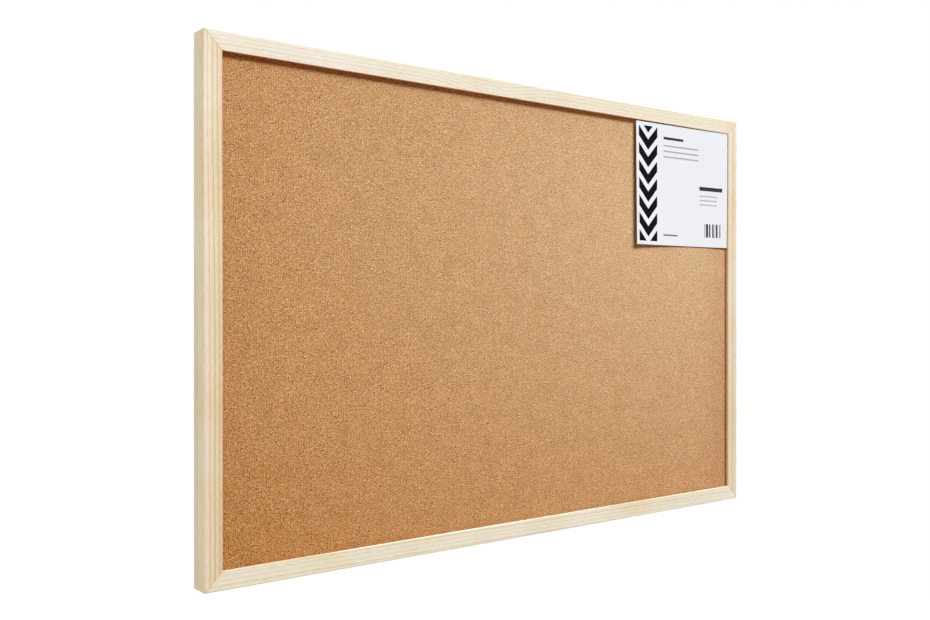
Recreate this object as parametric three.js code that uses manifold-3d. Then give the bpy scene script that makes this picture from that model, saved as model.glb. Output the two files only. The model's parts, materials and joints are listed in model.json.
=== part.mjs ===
// Framed cork pin board, landscape, with a loose insert card and a swinging hanger ring on each stile.
// Millimetres, +Z up. The pin face looks along -Y, and the wall side along +Y.
// The origin is on the back of the top rail, at the middle of its length and of its width.
import * as THREE from "three";
import { mergeVertices } from "three/addons/utils/BufferGeometryUtils.js";
import Module from "manifold-3d";

const wasm = await Module();
wasm.setup();

// Frame moulding
const BOARD_WIDTH = 600;
const BOARD_HEIGHT = 400;
const FRAME_DEPTH = 18;
const RAIL_WIDTH = 14;
const LIP_THICKNESS = 3; // wood in front of the panel groove
const GROOVE_DEPTH = 5; // reach of the groove into the moulding
const OUTER_ARRIS = 0.6; // rounding of the edge between face and outer side
const INNER_ARRIS = 0.35; // rounding of the edge round the opening
const BACK_ARRIS = 0.5; // rounding of the two back edges
const MITRE_GLUE = 0.1; // thickness of glue in a corner joint

// Panel, from front to back
const CORK_THICKNESS = 2;
const CORE_THICKNESS = 4;
const LINER_THICKNESS = 0.5;
const PANEL_GLUE = 0.1; // thickness of glue between two layers
const GROOVE_PLAY = 0.1; // in front of and behind the panel in its groove
const EDGE_PLAY = 0.5; // between the panel's edge and the bottom of the groove

// Corner nails: V-shaped steel strips driven in from the back
const NAIL_WING = 5.5;
const NAIL_THICKNESS = 0.5;
const NAIL_HEIGHT = 7;
const NAIL_HALF_ANGLE = THREE.MathUtils.degToRad(50);
const NAIL_INSET = 2.6; // from the board's edges to the point of the outer nail
const NAIL_PITCH = 5; // from the outer nail to the inner one, along either rail
const NAIL_SINK = 0.3; // below the back of the frame
const NAIL_PLAY = 0.15;

// Hanger: a strap folded round the bar of a wire ring, and two screws
const HANGER_DROP = 40; // from the top of the board to the ring's pivot
const HANGER_INSET = 8.4; // from the side of the board to the middle of the strap
const STRAP_WIDTH = 8.4;
const STRAP_GAUGE = 0.9;
const STRAP_END = 5; // from the lower screw to the end of the strap
const STRAP_CORNER = 2;
const SEAT_GAP = 0.1; // under the strap and under each screw head
const RING_WIRE = 2;
const RING_CORNER = 1.6; // bend of the wire's middle line beside the bar
const RING_BUTT_GAP = 0.4; // between the ends of the wire, inside the eye
const EYE_PLAY = 0.25; // round the bar
const RING_SIDE_PLAY = 0.3; // between the ring and each side of the strap
const RING_REST_GAP = 0.1; // between the hanging ring and the strap
const EYE_TO_HEAD = 1.7;
const HEAD_TO_RING = 1.8; // from each screw head to the hanging ring between them

// Screws
const SCREW_DIAMETER = 3;
const SCREW_LENGTH = 9;
const SCREW_TIP = 2.5;
const SCREW_PLAY = 0.2;
const HEAD_DIAMETER = 5.2;
const HEAD_HEIGHT = 1.7;
const HEAD_RIM = 0.6; // straight part of the head below its dome
const RECESS_SPAN = 2.8;
const RECESS_WIDTH = 0.8;
const RECESS_DEPTH = 1;

// Insert card, bowed off the cork
const CARD_WIDTH = 140;
const CARD_HEIGHT = 120;
const CARD_THICKNESS = 0.4;
const CARD_TILT = THREE.MathUtils.degToRad(0.4); // anticlockwise, seen from the front
const CARD_EDGE_GAP = 0.4; // to the top rail and the right stile
const CARD_SEAT_GAP = 0.3; // to the cork, along the line where the card lies on it
const CARD_SEAT_LINE = 89; // from the card's left edge to that line
const CARD_LIFT_TOP_LEFT = 2; // further off the cork, at each corner of the card
const CARD_LIFT_BOTTOM_LEFT = 2.6;
const CARD_LIFT_TOP_RIGHT = 2.2;
const CARD_LIFT_BOTTOM_RIGHT = 0.9;

// Facets
const ARRIS_FACETS = 4;
const WIRE_SIDES = 10;
const WIRE_STEPS = 44;
const SCREW_SIDES = 16;
const DOME_FACETS = 4;
const HOLE_SIDES = 20;
const EYE_SIDES = 24;
const CARD_COLUMNS = 16;
const CARD_ROWS = 6;
const CORK_CELLS = 3;
const ARC_DOUBLING = 2; // an arc in a shape gets twice as many facets as it is asked for

// What follows from the sizes above
const OPENING_WIDTH = BOARD_WIDTH - 2 * RAIL_WIDTH;
const OPENING_HEIGHT = BOARD_HEIGHT - 2 * RAIL_WIDTH;
const PANEL_WIDTH = OPENING_WIDTH + 2 * (GROOVE_DEPTH - EDGE_PLAY);
const PANEL_HEIGHT = OPENING_HEIGHT + 2 * (GROOVE_DEPTH - EDGE_PLAY);
const PANEL_THICKNESS = CORK_THICKNESS + CORE_THICKNESS + LINER_THICKNESS + 2 * PANEL_GLUE;
const GROOVE_WIDTH = PANEL_THICKNESS + 2 * GROOVE_PLAY;
const BOARD_TOP = RAIL_WIDTH / 2;
const BOARD_MIDDLE = BOARD_TOP - BOARD_HEIGHT / 2;
const STILE_X = (BOARD_WIDTH - RAIL_WIDTH) / 2;
const CORK_FRONT = -FRAME_DEPTH + LIP_THICKNESS + GROOVE_PLAY;
const CORE_FRONT = CORK_FRONT + CORK_THICKNESS + PANEL_GLUE;
const LINER_FRONT = CORE_FRONT + CORE_THICKNESS + PANEL_GLUE;
const EYE_RADIUS = RING_WIRE / 2 + EYE_PLAY;
const EYE_OUTER = EYE_RADIUS + STRAP_GAUGE;
const PIVOT_Y = SEAT_GAP + EYE_OUTER;
const STRAP_FRONT = SEAT_GAP + 2 * STRAP_GAUGE;
const RING_WIDTH = STRAP_WIDTH + 2 * RING_SIDE_PLAY + RING_WIRE;
const UPPER_SCREW_DROP = EYE_OUTER + EYE_TO_HEAD + HEAD_DIAMETER / 2;
const RING_DROP = UPPER_SCREW_DROP + HEAD_DIAMETER / 2 + HEAD_TO_RING + RING_WIRE / 2;
const LOWER_SCREW_DROP = RING_DROP + RING_WIRE / 2 + HEAD_TO_RING + HEAD_DIAMETER / 2;
const STRAP_DROP = LOWER_SCREW_DROP + STRAP_END;
const RING_REST_ANGLE = Math.asin((STRAP_FRONT + RING_REST_GAP + RING_WIRE / 2 - PIVOT_Y) / RING_DROP);
const CUT_MARGIN = 1; // how far a cutting tool reaches past the face that it opens

const pine = new THREE.MeshStandardMaterial({ color: 0xe6d2b0, roughness: 0.65 });
const cork = new THREE.MeshStandardMaterial({ color: 0xc4966a, roughness: 0.9 });
const fibre = new THREE.MeshStandardMaterial({ color: 0x9c7d58, roughness: 0.95 });
const liner = new THREE.MeshStandardMaterial({ color: 0xa98459, roughness: 0.85 });
const paper = new THREE.MeshStandardMaterial({ color: 0xedeff4, roughness: 0.6 });
const zinc = new THREE.MeshStandardMaterial({ color: 0xb9bcc0, roughness: 0.35, metalness: 1 });

function namedMesh(name, geometry, material) {
  const mesh = new THREE.Mesh(geometry, material);
  mesh.name = name;
  return mesh;
}

// A closed geometry as a solid for cutting
function solidOf(geometry) {
  const bare = new THREE.BufferGeometry();
  const loose = geometry.index ? geometry.toNonIndexed() : geometry;
  bare.setAttribute("position", loose.getAttribute("position").clone());
  const merged = mergeVertices(bare, 1e-4);
  return new wasm.Manifold(
    new wasm.Mesh({
      numProp: 3,
      vertProperties: merged.getAttribute("position").array,
      triVerts: new Uint32Array(merged.index.array),
    }),
  );
}

function geometryOf(solid) {
  const { vertProperties, triVerts } = solid.getMesh();
  const geometry = new THREE.BufferGeometry();
  geometry.setAttribute("position", new THREE.BufferAttribute(new Float32Array(vertProperties), 3));
  geometry.setIndex(new THREE.BufferAttribute(new Uint32Array(triVerts), 1));
  geometry.computeVertexNormals();
  return geometry;
}

// Cuts placed tools out of a placed mesh
function carve(mesh, tools) {
  mesh.updateWorldMatrix(true, false);
  const toMesh = mesh.matrixWorld.clone().invert();
  let solid = solidOf(mesh.geometry);
  for (const tool of tools) {
    tool.updateWorldMatrix(true, false);
    const placed = tool.geometry.clone().applyMatrix4(toMesh.clone().multiply(tool.matrixWorld));
    solid = solid.subtract(solidOf(placed));
  }
  mesh.geometry = geometryOf(solid);
}

// Moulding section: x is the distance in from the outer edge, y the distance back from the face
function mouldingSection() {
  const grooveFront = LIP_THICKNESS;
  const grooveBack = LIP_THICKNESS + GROOVE_WIDTH;
  const grooveFloor = RAIL_WIDTH - GROOVE_DEPTH;
  const section = new THREE.Shape();
  section.moveTo(0, OUTER_ARRIS);
  section.absarc(OUTER_ARRIS, OUTER_ARRIS, OUTER_ARRIS, Math.PI, 1.5 * Math.PI, false);
  section.lineTo(RAIL_WIDTH - INNER_ARRIS, 0);
  section.absarc(RAIL_WIDTH - INNER_ARRIS, INNER_ARRIS, INNER_ARRIS, 1.5 * Math.PI, 2 * Math.PI, false);
  section.lineTo(RAIL_WIDTH, grooveFront);
  section.lineTo(grooveFloor, grooveFront);
  section.lineTo(grooveFloor, grooveBack);
  section.lineTo(RAIL_WIDTH, grooveBack);
  section.lineTo(RAIL_WIDTH, FRAME_DEPTH - BACK_ARRIS);
  section.absarc(RAIL_WIDTH - BACK_ARRIS, FRAME_DEPTH - BACK_ARRIS, BACK_ARRIS, 0, 0.5 * Math.PI, false);
  section.lineTo(BACK_ARRIS, FRAME_DEPTH);
  section.absarc(BACK_ARRIS, FRAME_DEPTH - BACK_ARRIS, BACK_ARRIS, 0.5 * Math.PI, Math.PI, false);
  section.closePath();
  return section;
}

// A length of moulding along X with its outer edge up, mitred at both ends.
// Its origin is on its back, at the middle of its length and width.
function mouldingGeometry(length) {
  const geometry = new THREE.ExtrudeGeometry(mouldingSection(), {
    depth: length,
    steps: 1,
    bevelEnabled: false,
    curveSegments: ARRIS_FACETS / ARC_DOUBLING,
  });
  geometry.rotateY(Math.PI / 2);
  geometry.translate(-length / 2, -FRAME_DEPTH, RAIL_WIDTH / 2);
  const position = geometry.getAttribute("position");
  for (let i = 0; i < position.count; i += 1) {
    const inward = RAIL_WIDTH / 2 - position.getZ(i);
    const reach = length / 2 - inward - MITRE_GLUE / Math.SQRT2;
    position.setX(i, Math.sign(position.getX(i)) * reach);
  }
  return geometry;
}

function makeMoulding(name, length, x, z, turn) {
  const mesh = namedMesh(name, mouldingGeometry(length), pine);
  mesh.position.set(x, 0, z);
  mesh.rotation.y = turn;
  return mesh;
}

// One flat layer of the panel, from its front face back
function makeLayer(name, front, thickness, cells, material) {
  const geometry = new THREE.BoxGeometry(PANEL_WIDTH, thickness, PANEL_HEIGHT, cells, 1, cells);
  const mesh = namedMesh(name, geometry, material);
  mesh.position.set(0, front + thickness / 2, BOARD_MIDDLE);
  return mesh;
}

// A V-shaped nail with its point towards -X, from its back edge at Y = 0 forward.
// Play widens it all round, and raise lengthens it past its back edge, for the slot that it sits in.
function nailGeometry(play, raise) {
  const half = NAIL_THICKNESS / 2 + play;
  const wing = NAIL_WING + play;
  const cos = Math.cos(NAIL_HALF_ANGLE);
  const sin = Math.sin(NAIL_HALF_ANGLE);
  const point = half / sin;
  const outline = new THREE.Shape();
  outline.moveTo(-point, 0);
  outline.lineTo(wing * cos + half * -sin, -wing * sin - half * cos);
  outline.lineTo(wing * cos + half * sin, -wing * sin + half * cos);
  outline.lineTo(point, 0);
  outline.lineTo(wing * cos + half * sin, wing * sin - half * cos);
  outline.lineTo(wing * cos + half * -sin, wing * sin + half * cos);
  outline.closePath();
  const depth = NAIL_HEIGHT + play + raise;
  const geometry = new THREE.ExtrudeGeometry(outline, { depth, steps: 1, bevelEnabled: false });
  geometry.rotateX(Math.PI / 2);
  geometry.translate(0, raise, 0);
  return geometry;
}

// Sets a nail on the mitre of a corner. sideX and sideZ give the corner's signs.
function placeNail(mesh, sideX, sideZ, inset) {
  const x = sideX * (BOARD_WIDTH / 2 - inset);
  const z = BOARD_MIDDLE + sideZ * (BOARD_HEIGHT / 2 - inset);
  mesh.position.set(x, -NAIL_SINK, z);
  mesh.rotation.y = Math.atan2(sideZ, -sideX);
  return mesh;
}

// Wood screw along Y, with its head outward and the underside of the head at Y = 0
function screwGeometry() {
  const radius = SCREW_DIAMETER / 2;
  const headRadius = HEAD_DIAMETER / 2;
  const profile = new THREE.Path();
  profile.moveTo(0, -SCREW_LENGTH);
  profile.lineTo(radius, -SCREW_LENGTH + SCREW_TIP);
  profile.lineTo(radius, 0);
  profile.lineTo(headRadius, 0);
  profile.lineTo(headRadius, HEAD_RIM);
  profile.quadraticCurveTo(headRadius, HEAD_HEIGHT, 0, HEAD_HEIGHT);
  let solid = solidOf(new THREE.LatheGeometry(profile.getPoints(DOME_FACETS), SCREW_SIDES));
  const recessBar = new THREE.BoxGeometry(RECESS_SPAN, 2 * RECESS_DEPTH, RECESS_WIDTH);
  recessBar.translate(0, HEAD_HEIGHT, 0);
  solid = solid.subtract(solidOf(recessBar));
  solid = solid.subtract(solidOf(recessBar.clone().rotateY(Math.PI / 2)));
  return geometryOf(solid);
}

// Clearance hole for a screw, centred on Y = 0
function screwHole(depth) {
  const radius = SCREW_DIAMETER / 2 + SCREW_PLAY;
  return new THREE.Mesh(new THREE.CylinderGeometry(radius, radius, 2 * depth, HOLE_SIDES));
}

// Strap seen from its end: x is the distance out from the wood, y the height from the ring's pivot
function strapSection() {
  const tuck = Math.acos((STRAP_FRONT - PIVOT_Y) / EYE_OUTER);
  const section = new THREE.Shape();
  section.moveTo(SEAT_GAP, -STRAP_DROP);
  section.lineTo(STRAP_FRONT, -STRAP_DROP);
  section.lineTo(STRAP_FRONT, -EYE_OUTER * Math.sin(tuck));
  section.absarc(PIVOT_Y, 0, EYE_OUTER, -tuck, Math.PI, false);
  section.closePath();
  const eye = new THREE.Path();
  eye.absarc(PIVOT_Y, 0, EYE_RADIUS, 0, 2 * Math.PI, true);
  section.holes.push(eye);
  return section;
}

// The strap's outline from the front, with its lower corners rounded
function strapOutline() {
  const half = STRAP_WIDTH / 2;
  const top = EYE_OUTER + CUT_MARGIN;
  const turnX = half - STRAP_CORNER;
  const turnY = -STRAP_DROP + STRAP_CORNER;
  const outline = new THREE.Shape();
  outline.moveTo(-half, top);
  outline.lineTo(-half, turnY);
  outline.absarc(-turnX, turnY, STRAP_CORNER, Math.PI, 1.5 * Math.PI, false);
  outline.absarc(turnX, turnY, STRAP_CORNER, 1.5 * Math.PI, 2 * Math.PI, false);
  outline.lineTo(half, top);
  outline.closePath();
  return outline;
}

// Strap on the wood at Y = 0, with the ring's pivot at Z = 0
function strapGeometry() {
  const folded = new THREE.ExtrudeGeometry(strapSection(), {
    depth: STRAP_WIDTH + 2 * CUT_MARGIN,
    steps: 1,
    bevelEnabled: false,
    curveSegments: EYE_SIDES / ARC_DOUBLING,
  });
  folded.translate(0, 0, -STRAP_WIDTH / 2 - CUT_MARGIN);
  folded.applyMatrix4(new THREE.Matrix4().makeBasis(
    new THREE.Vector3(0, 1, 0),
    new THREE.Vector3(0, 0, 1),
    new THREE.Vector3(1, 0, 0),
  ));
  const blank = new THREE.ExtrudeGeometry(strapOutline(), {
    depth: 2 * PIVOT_Y + 2 * CUT_MARGIN,
    steps: 1,
    bevelEnabled: false,
    curveSegments: ARRIS_FACETS / ARC_DOUBLING,
  });
  blank.rotateX(Math.PI / 2);
  blank.translate(0, 2 * PIVOT_Y + CUT_MARGIN, 0);
  return geometryOf(solidOf(folded).intersect(solidOf(blank)));
}

// D-ring of round wire hanging straight down from its pivot at the origin
function ringGeometry() {
  const half = RING_WIDTH / 2;
  const turn = RING_CORNER;
  const line = new THREE.Path();
  line.moveTo(RING_BUTT_GAP / 2, 0);
  line.absarc(half - turn, -turn, turn, 0.5 * Math.PI, 0, true);
  line.absarc(0, -RING_DROP + half, half, 0, -Math.PI, true);
  line.absarc(-half + turn, -turn, turn, Math.PI, 0.5 * Math.PI, true);
  line.lineTo(-RING_BUTT_GAP / 2, 0);
  const points = line.getSpacedPoints(WIRE_STEPS).map((p) => new THREE.Vector3(p.x, 0, p.y));
  const wire = new THREE.Shape();
  wire.absarc(0, 0, RING_WIRE / 2, 0, 2 * Math.PI, false);
  return new THREE.ExtrudeGeometry(wire, {
    steps: WIRE_STEPS,
    curveSegments: WIRE_SIDES / ARC_DOUBLING,
    bevelEnabled: false,
    extrudePath: new THREE.CatmullRomCurve3(points),
  });
}

// A hanger on the back of a stile, and the holes that its screws need in the wood
function makeHanger(side, x) {
  const group = new THREE.Group();
  group.position.set(x, 0, BOARD_TOP - HANGER_DROP);
  const strap = namedMesh(`${side}_hanger_strap`, strapGeometry(), zinc);
  group.add(strap);
  const ring = namedMesh(`${side}_hanger_ring`, ringGeometry(), zinc);
  ring.position.y = PIVOT_Y;
  ring.rotation.x = RING_REST_ANGLE;
  group.add(ring);
  const drops = { upper: UPPER_SCREW_DROP, lower: LOWER_SCREW_DROP };
  const woodHoles = [];
  const strapHoles = [];
  for (const [place, drop] of Object.entries(drops)) {
    const screw = namedMesh(`${side}_hanger_screw_${place}`, screwGeometry(), zinc);
    screw.position.set(0, STRAP_FRONT + SEAT_GAP, -drop);
    group.add(screw);
    const woodHole = screwHole(SCREW_LENGTH - STRAP_FRONT + SCREW_PLAY);
    woodHole.position.set(x, 0, BOARD_TOP - HANGER_DROP - drop);
    woodHoles.push(woodHole);
    const strapHole = screwHole(STRAP_FRONT + CUT_MARGIN);
    strapHole.position.copy(woodHole.position);
    strapHoles.push(strapHole);
  }
  carve(strap, strapHoles);
  return { group, woodHoles };
}

// How far the card's back stands off the cork, x from its left edge and z down from its top edge
function cardLift(x, z) {
  const down = z / CARD_HEIGHT;
  if (x > CARD_SEAT_LINE) {
    const share = (x - CARD_SEAT_LINE) / (CARD_WIDTH - CARD_SEAT_LINE);
    const right = THREE.MathUtils.lerp(CARD_LIFT_TOP_RIGHT, CARD_LIFT_BOTTOM_RIGHT, down);
    return CARD_SEAT_GAP + right * share ** 2;
  }
  const left = THREE.MathUtils.lerp(CARD_LIFT_TOP_LEFT, CARD_LIFT_BOTTOM_LEFT, down);
  return CARD_SEAT_GAP + left * (1 - x / CARD_SEAT_LINE) ** 2;
}

// Card in the top right corner of the opening, turned a little
function makeCard() {
  const geometry = new THREE.BoxGeometry(
    CARD_WIDTH, CARD_THICKNESS, CARD_HEIGHT, CARD_COLUMNS, 1, CARD_ROWS,
  );
  const position = geometry.getAttribute("position");
  for (let i = 0; i < position.count; i += 1) {
    const x = position.getX(i) + CARD_WIDTH / 2;
    const z = CARD_HEIGHT / 2 - position.getZ(i);
    position.setY(i, position.getY(i) - CARD_THICKNESS / 2 - cardLift(x, z));
  }
  const mesh = namedMesh("label_card", geometry, paper);
  const cos = Math.cos(CARD_TILT);
  const sin = Math.sin(CARD_TILT);
  const reachRight = (CARD_WIDTH * cos + CARD_HEIGHT * sin) / 2;
  const reachUp = (CARD_WIDTH * sin + CARD_HEIGHT * cos) / 2;
  mesh.position.set(
    OPENING_WIDTH / 2 - CARD_EDGE_GAP - reachRight,
    CORK_FRONT,
    BOARD_TOP - RAIL_WIDTH - CARD_EDGE_GAP - reachUp,
  );
  mesh.rotation.y = -CARD_TILT;
  return mesh;
}

const board = new THREE.Group();

// Frame: the rails are as long as the board is wide, the stiles as long as it is high
const rails = {
  top: makeMoulding("top_rail", BOARD_WIDTH, 0, 0, 0),
  bottom: makeMoulding("bottom_rail", BOARD_WIDTH, 0, RAIL_WIDTH - BOARD_HEIGHT, Math.PI),
  left: makeMoulding("left_stile", BOARD_HEIGHT, -STILE_X, BOARD_MIDDLE, -Math.PI / 2),
  right: makeMoulding("right_stile", BOARD_HEIGHT, STILE_X, BOARD_MIDDLE, Math.PI / 2),
};
const cutsIn = { top: [], bottom: [], left: [], right: [] };

// Panel
board.add(makeLayer("cork_sheet", CORK_FRONT, CORK_THICKNESS, CORK_CELLS, cork));
board.add(makeLayer("core_board", CORE_FRONT, CORE_THICKNESS, 1, fibre));
board.add(makeLayer("back_liner", LINER_FRONT, LINER_THICKNESS, 1, liner));

// Corner nails and their slots
const sidesX = { left: -1, right: 1 };
const sidesZ = { top: 1, bottom: -1 };
const insets = { outer: NAIL_INSET, inner: NAIL_INSET + NAIL_PITCH };
for (const [upDown, sideZ] of Object.entries(sidesZ)) {
  for (const [leftRight, sideX] of Object.entries(sidesX)) {
    for (const [place, inset] of Object.entries(insets)) {
      const nail = namedMesh(`nail_${upDown}_${leftRight}_${place}`, nailGeometry(0, 0), zinc);
      board.add(placeNail(nail, sideX, sideZ, inset));
      const slot = new THREE.Mesh(nailGeometry(NAIL_PLAY, NAIL_SINK + CUT_MARGIN));
      placeNail(slot, sideX, sideZ, inset);
      cutsIn[upDown].push(slot);
      cutsIn[leftRight].push(slot);
    }
  }
}

// Hangers
for (const [side, sideX] of Object.entries(sidesX)) {
  const { group, woodHoles } = makeHanger(side, sideX * (BOARD_WIDTH / 2 - HANGER_INSET));
  board.add(group);
  cutsIn[side].push(...woodHoles);
}

for (const [place, rail] of Object.entries(rails)) {
  carve(rail, cutsIn[place]);
  board.add(rail);
}

board.add(makeCard());

export default board;
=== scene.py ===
"""Looks of a framed cork pin board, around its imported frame.

Metres, with +Z up. The pin face looks along -Y.
"""

import json
import math

import bmesh
import bpy
import numpy as np
from mathutils import Matrix, Vector, noise


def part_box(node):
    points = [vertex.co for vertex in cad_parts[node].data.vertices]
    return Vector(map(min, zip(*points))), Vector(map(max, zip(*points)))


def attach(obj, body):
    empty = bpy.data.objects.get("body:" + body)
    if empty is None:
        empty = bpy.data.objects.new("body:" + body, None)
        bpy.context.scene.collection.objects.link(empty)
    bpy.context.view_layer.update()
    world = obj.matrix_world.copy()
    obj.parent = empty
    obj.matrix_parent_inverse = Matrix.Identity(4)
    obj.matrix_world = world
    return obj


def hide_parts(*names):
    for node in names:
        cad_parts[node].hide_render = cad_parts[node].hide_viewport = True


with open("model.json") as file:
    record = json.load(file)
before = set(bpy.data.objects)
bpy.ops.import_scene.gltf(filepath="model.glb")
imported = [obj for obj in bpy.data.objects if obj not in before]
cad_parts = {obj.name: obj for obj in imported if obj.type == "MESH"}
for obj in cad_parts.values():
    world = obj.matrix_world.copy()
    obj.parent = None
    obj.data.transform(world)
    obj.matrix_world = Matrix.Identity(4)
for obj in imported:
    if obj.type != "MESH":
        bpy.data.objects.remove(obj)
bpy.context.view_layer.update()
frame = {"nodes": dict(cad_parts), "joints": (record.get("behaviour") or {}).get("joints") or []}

MM = 0.001

# Sizes taken from the frame
BOARD_LOW = Vector((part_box("left_stile")[0].x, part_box("top_rail")[0].y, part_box("bottom_rail")[0].z))
BOARD_HIGH = Vector((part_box("right_stile")[1].x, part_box("top_rail")[1].y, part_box("top_rail")[1].z))
RAIL_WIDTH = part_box("top_rail")[1].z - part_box("top_rail")[0].z
FACE_Y = BOARD_LOW.y
FACE_MIDDLE = Vector(((BOARD_LOW.x + BOARD_HIGH.x) / 2, FACE_Y, (BOARD_LOW.z + BOARD_HIGH.z) / 2))
OPENING_LOW = Vector((BOARD_LOW.x + RAIL_WIDTH, 0, BOARD_LOW.z + RAIL_WIDTH))
OPENING_HIGH = Vector((BOARD_HIGH.x - RAIL_WIDTH, 0, BOARD_HIGH.z - RAIL_WIDTH))
CORK_LOW, CORK_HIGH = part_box("cork_sheet")
LINER_LOW, LINER_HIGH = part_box("back_liner")
PIVOTS = {j["child"]: Vector(j["pos_m"]) for j in frame["joints"] if j["type"] == "hinge"}

# Shape of the moulding
RAIL_STEP = 5 * MM
RAIL_UNCUT_END = 2 * RAIL_WIDTH
SANDING_WAVE = 0.04 * MM
SANDING_PACE_ALONG = 30
SANDING_PACE_ACROSS = 60
ARRIS_WEAR = 0.25 * MM
ARRIS_REACH = 0.7 * MM
ARRIS_PACE = 90
ARRIS_PACE_BY_EDGE = 40
ARRIS_ROW = 3.0
ARRIS_SPARED = 0.1
CORNER_EASE = 0.3 * MM
CORNER_SKIN = 0.2 * MM
CORNER_REACH = 2 * MM

# Pine: scales are in cells per metre, and pairs run from where a tint starts to where it is full
GRAIN_STRETCH = 0.06
GROWTH_WANDER = 3 * MM
GROWTH_WANDER_SCALE = 5.0
GROWTH_RAGGED = 0.5 * MM
GROWTH_RAGGED_SCALE = 420.0
FIBRE_SCALE = 2600.0
FIBRE_STRENGTH = 0.8
TONE_SCALE = 14.0
CANAL_STRETCH = 0.035
CANAL_SCALE = 1500.0
CANAL_STRENGTH = 0.45
OUTER_SIDE_OVER = (0.5 * MM, 0.2 * MM)
OUTER_SIDE_DEPTH = (0.3 * MM, 0.7 * MM)
INNER_WALL_OVER = (RAIL_WIDTH - 0.3 * MM, RAIL_WIDTH - 0.1 * MM)
INNER_WALL_DEPTH = (0.1 * MM, 0.4 * MM)
GLUE_LINE = (0.4 * MM, 0.1 * MM)
PINE_RELIEF = 0.12 * MM

# Shape of the cork
CORK_STEP = 2.2 * MM
CORK_RELIEF = 0.03 * MM
CORK_RELIEF_LIMIT = 2.5 * CORK_RELIEF
CORK_PITS = 500
CORK_PIT_DEPTH = 0.25 * MM
CORK_PIT_SHARES = (0.3, 1.0)
CORK_LIP_FADE = 2 * MM
CORK_SEED = 5

# Cork: scales are in cells per metre, and the granules' pairs are a slope and a start
GRAIN_SCALE = 1750.0
GRAIN_SHARE = 0.34
FINE_GRAIN_SCALE = 3000.0
FINE_GRAIN_SHARE = 0.24
GRANULE_SCALE = 720.0
GRANULE_SHADE = (-0.9, 0.387)
GRANULE_TURN = (2.4, -0.8)
GRANULE_LEVEL = 0.21
SPECK_SCALE = 520.0
SPECK_SIZE = 0.26
BARK_ABOVE = 0.88
BARK_STRENGTH = 0.6
PALE_BELOW = 0.1
PALE_STRENGTH = 0.85
MOTTLE_SCALE = 62.0
# Painted light on the cork: a pale haze toward a place high on the right, with painted shade further from
# it
PAINTED_LIGHT_X = CORK_HIGH.x
PAINTED_LIGHT_Z = CORK_LOW.z + 0.8 * (CORK_HIGH.z - CORK_LOW.z)
PAINTED_LIGHT_STRETCH = 0.52
PAINTED_LIGHT_REACH = 430 * MM
PAINTED_HAZE_STRENGTH = 0.36
# Painted shade along the frame's lips, reaching further in at the right
RIM_SHADE_REACH = 7 * MM
RIM_SHADE_REACH_RIGHT = 50 * MM
CORK_GRAIN_RELIEF = 0.25 * MM

# Liner: scales are in cells per metre
LINER_STEP = 6 * MM
LINER_RIPPLE = 0.08 * MM
LINER_EDGE_FADE = 15 * MM
LINER_RELIEF = 0.15 * MM
CLOUD_SCALE = 55.0
MACHINE_LINE_SCALE = 700.0
MACHINE_LINE_STRETCH = 0.05
MACHINE_LINE_STRENGTH = 0.5
THREAD_SCALE = 1400.0
THREAD_STRETCH = 0.3
DARK_THREAD_STRENGTH = 0.4
PALE_THREAD_STRENGTH = 0.35
FLECK_SCALE = 330.0
FLECK_SIZE = 0.1
FLECK_STRENGTH = 0.42

# Softboard and steel: scales are in cells per metre
HAIR_SCALE = 900.0
HAIR_RELIEF = 0.4 * MM
CRYSTAL_SCALE = 900.0
CRYSTAL_STRENGTH = 0.5
RUBBED_SCALE = 260.0
STEEL_RELIEF = 0.05 * MM

# Insert card: the bow that it has in the frame, with the middle of its top edge standing further off
CARD_WIDTH = 140 * MM
CARD_HEIGHT = 120 * MM
CARD_THICKNESS = 0.4 * MM
CARD_TILT = math.radians(0.4)
CARD_EDGE_GAP = 0.4 * MM
CARD_SEAT_GAP = 0.3 * MM
CARD_SEAT_LINE = 89 * MM
CARD_LIFT_TOP = 1.7 * MM
CARD_LIFT_TOP_LEFT = 2 * MM
CARD_LIFT_BOTTOM_LEFT = 2.6 * MM
CARD_LIFT_TOP_RIGHT = 2.2 * MM
CARD_LIFT_BOTTOM_RIGHT = 0.9 * MM
CARD_STEP = 2.5 * MM

# Print on the card, placed in millimetres from its left and top edges
BAND_X = (3.5, 30.5)
BAND_Z = (3.5, 116.5)
BAND_FOLD = 17.0
BAND_PITCH = 17.0
BAND_INKED = 0.6
BARS_X = (104.0, 132.0)
BARS_Z = (96.0, 110.0)
BARS_PER_MM = 1.4

# Paper of the card, with its fibres in cells per millimetre
PAPER_SCALE = 1.6
PAPER_RELIEF = 0.1 * MM

# Hanger ring
RING_WIRE = 2 * MM
RING_WIDTH = 11 * MM
RING_DROP = 11.85 * MM
RING_CORNER = 1.6 * MM
RING_BUTT_GAP = 0.4 * MM
RING_REST_RISE = 0.75 * MM
RING_REST_ANGLE = math.asin(RING_REST_RISE / RING_DROP)
RING_SIDES = 20
RING_STEPS = 110
RING_CORNER_STEPS = 9
RING_BOW_STEPS = 41

# Broken edges of the steel
STRAP_BEVEL = 0.15 * MM
SCREW_BEVEL = 0.1 * MM
NAIL_BEVEL = 0.06 * MM
BEVEL_FROM = math.radians(35)

# Camera, fitted to the board's outline in the photograph
CAMERA_FROM_FACE = Vector((-599.5, -684.2, 1.7)) * MM
CAMERA_YAW = math.radians(37.913)
CAMERA_PITCH = math.radians(-0.082)
CAMERA_LENS = 39.716
SENSOR_WIDTH = 36

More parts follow.
